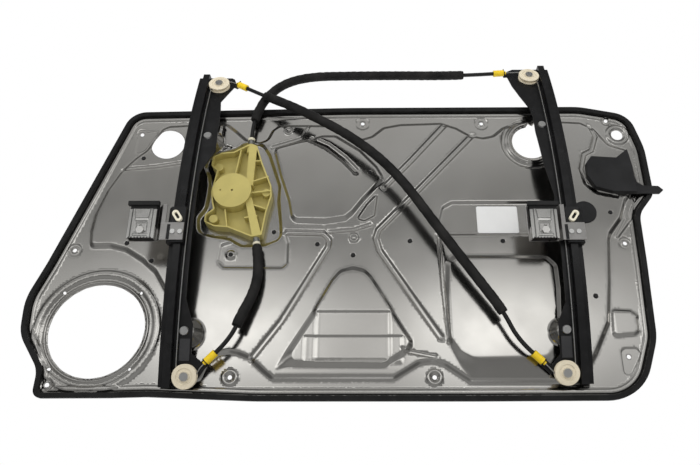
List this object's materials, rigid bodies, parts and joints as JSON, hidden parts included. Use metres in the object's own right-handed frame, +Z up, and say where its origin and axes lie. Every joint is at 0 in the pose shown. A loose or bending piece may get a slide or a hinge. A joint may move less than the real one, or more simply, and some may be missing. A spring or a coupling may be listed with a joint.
{
  "type": "cable window regulator on a door carrier panel",
  "caption": "Twin-rail cable window regulator on a pressed steel door panel, with curved rails, glass carriers, pulleys, cable drum and sleeved conduits.",
  "frame": {"origin": "on the cable drum's axis, at the rear face of the panel, where the window motor bolts on", "axes": "+X along the door, towards the latch end; +Z up; the glass side of the panel faces -Y"},
  "size_m": [1.0712, 0.0801, 0.635],
  "materials": {
    "panel_steel": "bare rolled sheet, soft sheen",
    "rail_paint": "satin black",
    "seal_rubber": "matte",
    "housing_nylon": "uncoloured glass-filled nylon",
    "pulley_acetal": "cream, satin",
    "drum_acetal": "cream, satin",
    "ferrule_plastic": "yellow",
    "conduit_plastic": "black",
    "foam": "closed-cell foam, matte",
    "cable_steel": "stranded, greased",
    "zinc_steel": "bright zinc plate",
    "black_plastic": "moulded, matte",
    "pad_rubber": "matte",
    "clip_plastic": "cream",
    "collar_plastic": "beige",
    "spring_steel": "coiled wire"
  },
  "bodies": {
    "panel": {"carrier_panel": "panel_steel", "perimeter_seal": "seal_rubber", "front_rail": "rail_paint", "rear_rail": "rail_paint", "front_lower_guide": "black_plastic", "rear_lower_guide": "black_plastic", "rail_rivets": "zinc_steel", "drum_housing": "housing_nylon", "front_cable": "cable_steel", "rear_cable": "cable_steel", "upper_exit_spring": "spring_steel", "upper_exit_collar": "collar_plastic", "lower_exit_spring": "spring_steel", "lower_exit_collar": "collar_plastic", "latch_shroud": "black_plastic", "grommet": "black_plastic", "hole_plugs": "black_plastic", "front_upper_pulley_rivet": "zinc_steel", "front_upper_ferrule": "ferrule_plastic", "front_lower_pulley_rivet": "zinc_steel", "front_lower_ferrule": "ferrule_plastic", "rear_upper_pulley_rivet": "zinc_steel", "rear_upper_ferrule": "ferrule_plastic", "rear_lower_pulley_rivet": "zinc_steel", "rear_lower_ferrule": "ferrule_plastic", "upper_conduit": "conduit_plastic", "upper_sleeve": "foam", "cross_conduit": "conduit_plastic", "cross_sleeve": "foam", "lower_conduit": "conduit_plastic", "lower_sleeve": "foam"},
    "front_carrier": {"front_shoe": "black_plastic", "front_lift_plate": "zinc_steel", "front_plate_rivets": "zinc_steel", "front_clamp_jaw": "zinc_steel", "front_clamp_inner_pad": "pad_rubber", "front_clamp_outer_pad": "pad_rubber", "front_clamp_bolt": "zinc_steel", "front_cable_clip": "clip_plastic"},
    "rear_carrier": {"rear_shoe": "black_plastic", "rear_lift_plate": "zinc_steel", "rear_plate_rivets": "zinc_steel", "rear_clamp_jaw": "zinc_steel", "rear_clamp_inner_pad": "pad_rubber", "rear_clamp_outer_pad": "pad_rubber", "rear_clamp_bolt": "zinc_steel", "rear_cable_clip": "clip_plastic"},
    "drum": {"cable_drum": "drum_acetal"},
    "front_upper_pulley_wheel": {"front_upper_pulley": "pulley_acetal"},
    "front_lower_pulley_wheel": {"front_lower_pulley": "pulley_acetal"},
    "rear_upper_pulley_wheel": {"rear_upper_pulley": "pulley_acetal"},
    "rear_lower_pulley_wheel": {"rear_lower_pulley": "pulley_acetal"}
  },
  "joints": [
    {"name": "front_carrier_travel", "type": "hinge", "parent": "panel", "child": "front_carrier", "pos_m": [0, 0.9785, -0.046], "axis": [-1, 0, 0], "range_deg": [-9.5, 13.2]},
    {"name": "rear_carrier_travel", "type": "hinge", "parent": "panel", "child": "rear_carrier", "pos_m": [0, 0.9785, -0.046], "axis": [-1, 0, 0], "range_deg": [-9.6, 13.3]},
    {"name": "drum_spin", "type": "hinge", "parent": "panel", "child": "drum", "pos_m": [0, -0.0135, 0], "axis": [0, -1, 0], "range_deg": [-552, 398]},
    {"name": "front_upper_pulley_spin", "type": "hinge", "parent": "panel", "child": "front_upper_pulley_wheel", "pos_m": [-0.045, -0.01507, 0.2255], "axis": [0, -0.9646, 0.2636], "range_deg": [-980, 706]},
    {"name": "front_lower_pulley_spin", "type": "hinge", "parent": "panel", "child": "front_lower_pulley_wheel", "pos_m": [-0.045, -0.01507, -0.3175], "axis": [0, -0.9646, -0.2636], "range_deg": [-980, 706]},
    {"name": "rear_upper_pulley_spin", "type": "hinge", "parent": "panel", "child": "rear_upper_pulley_wheel", "pos_m": [0.538, -0.00805, 0.25], "axis": [0, -0.9578, 0.2874], "range_deg": [-706, 980]},
    {"name": "rear_lower_pulley_spin", "type": "hinge", "parent": "panel", "child": "rear_lower_pulley_wheel", "pos_m": [0.538, -0.01656, -0.312], "axis": [0, -0.9661, -0.2583], "range_deg": [-706, 980]}
  ],
  "couplings": [
    {"joint": "rear_carrier_travel", "follows": "front_carrier_travel", "ratio": 1},
    {"joint": "drum_spin", "follows": "front_carrier_travel", "ratio": -41.566},
    {"joint": "front_upper_pulley_spin", "follows": "front_carrier_travel", "ratio": -73.929},
    {"joint": "front_lower_pulley_spin", "follows": "front_carrier_travel", "ratio": -73.929},
    {"joint": "rear_upper_pulley_spin", "follows": "front_carrier_travel", "ratio": 73.929},
    {"joint": "rear_lower_pulley_spin", "follows": "front_carrier_travel", "ratio": 73.929}
  ]
}
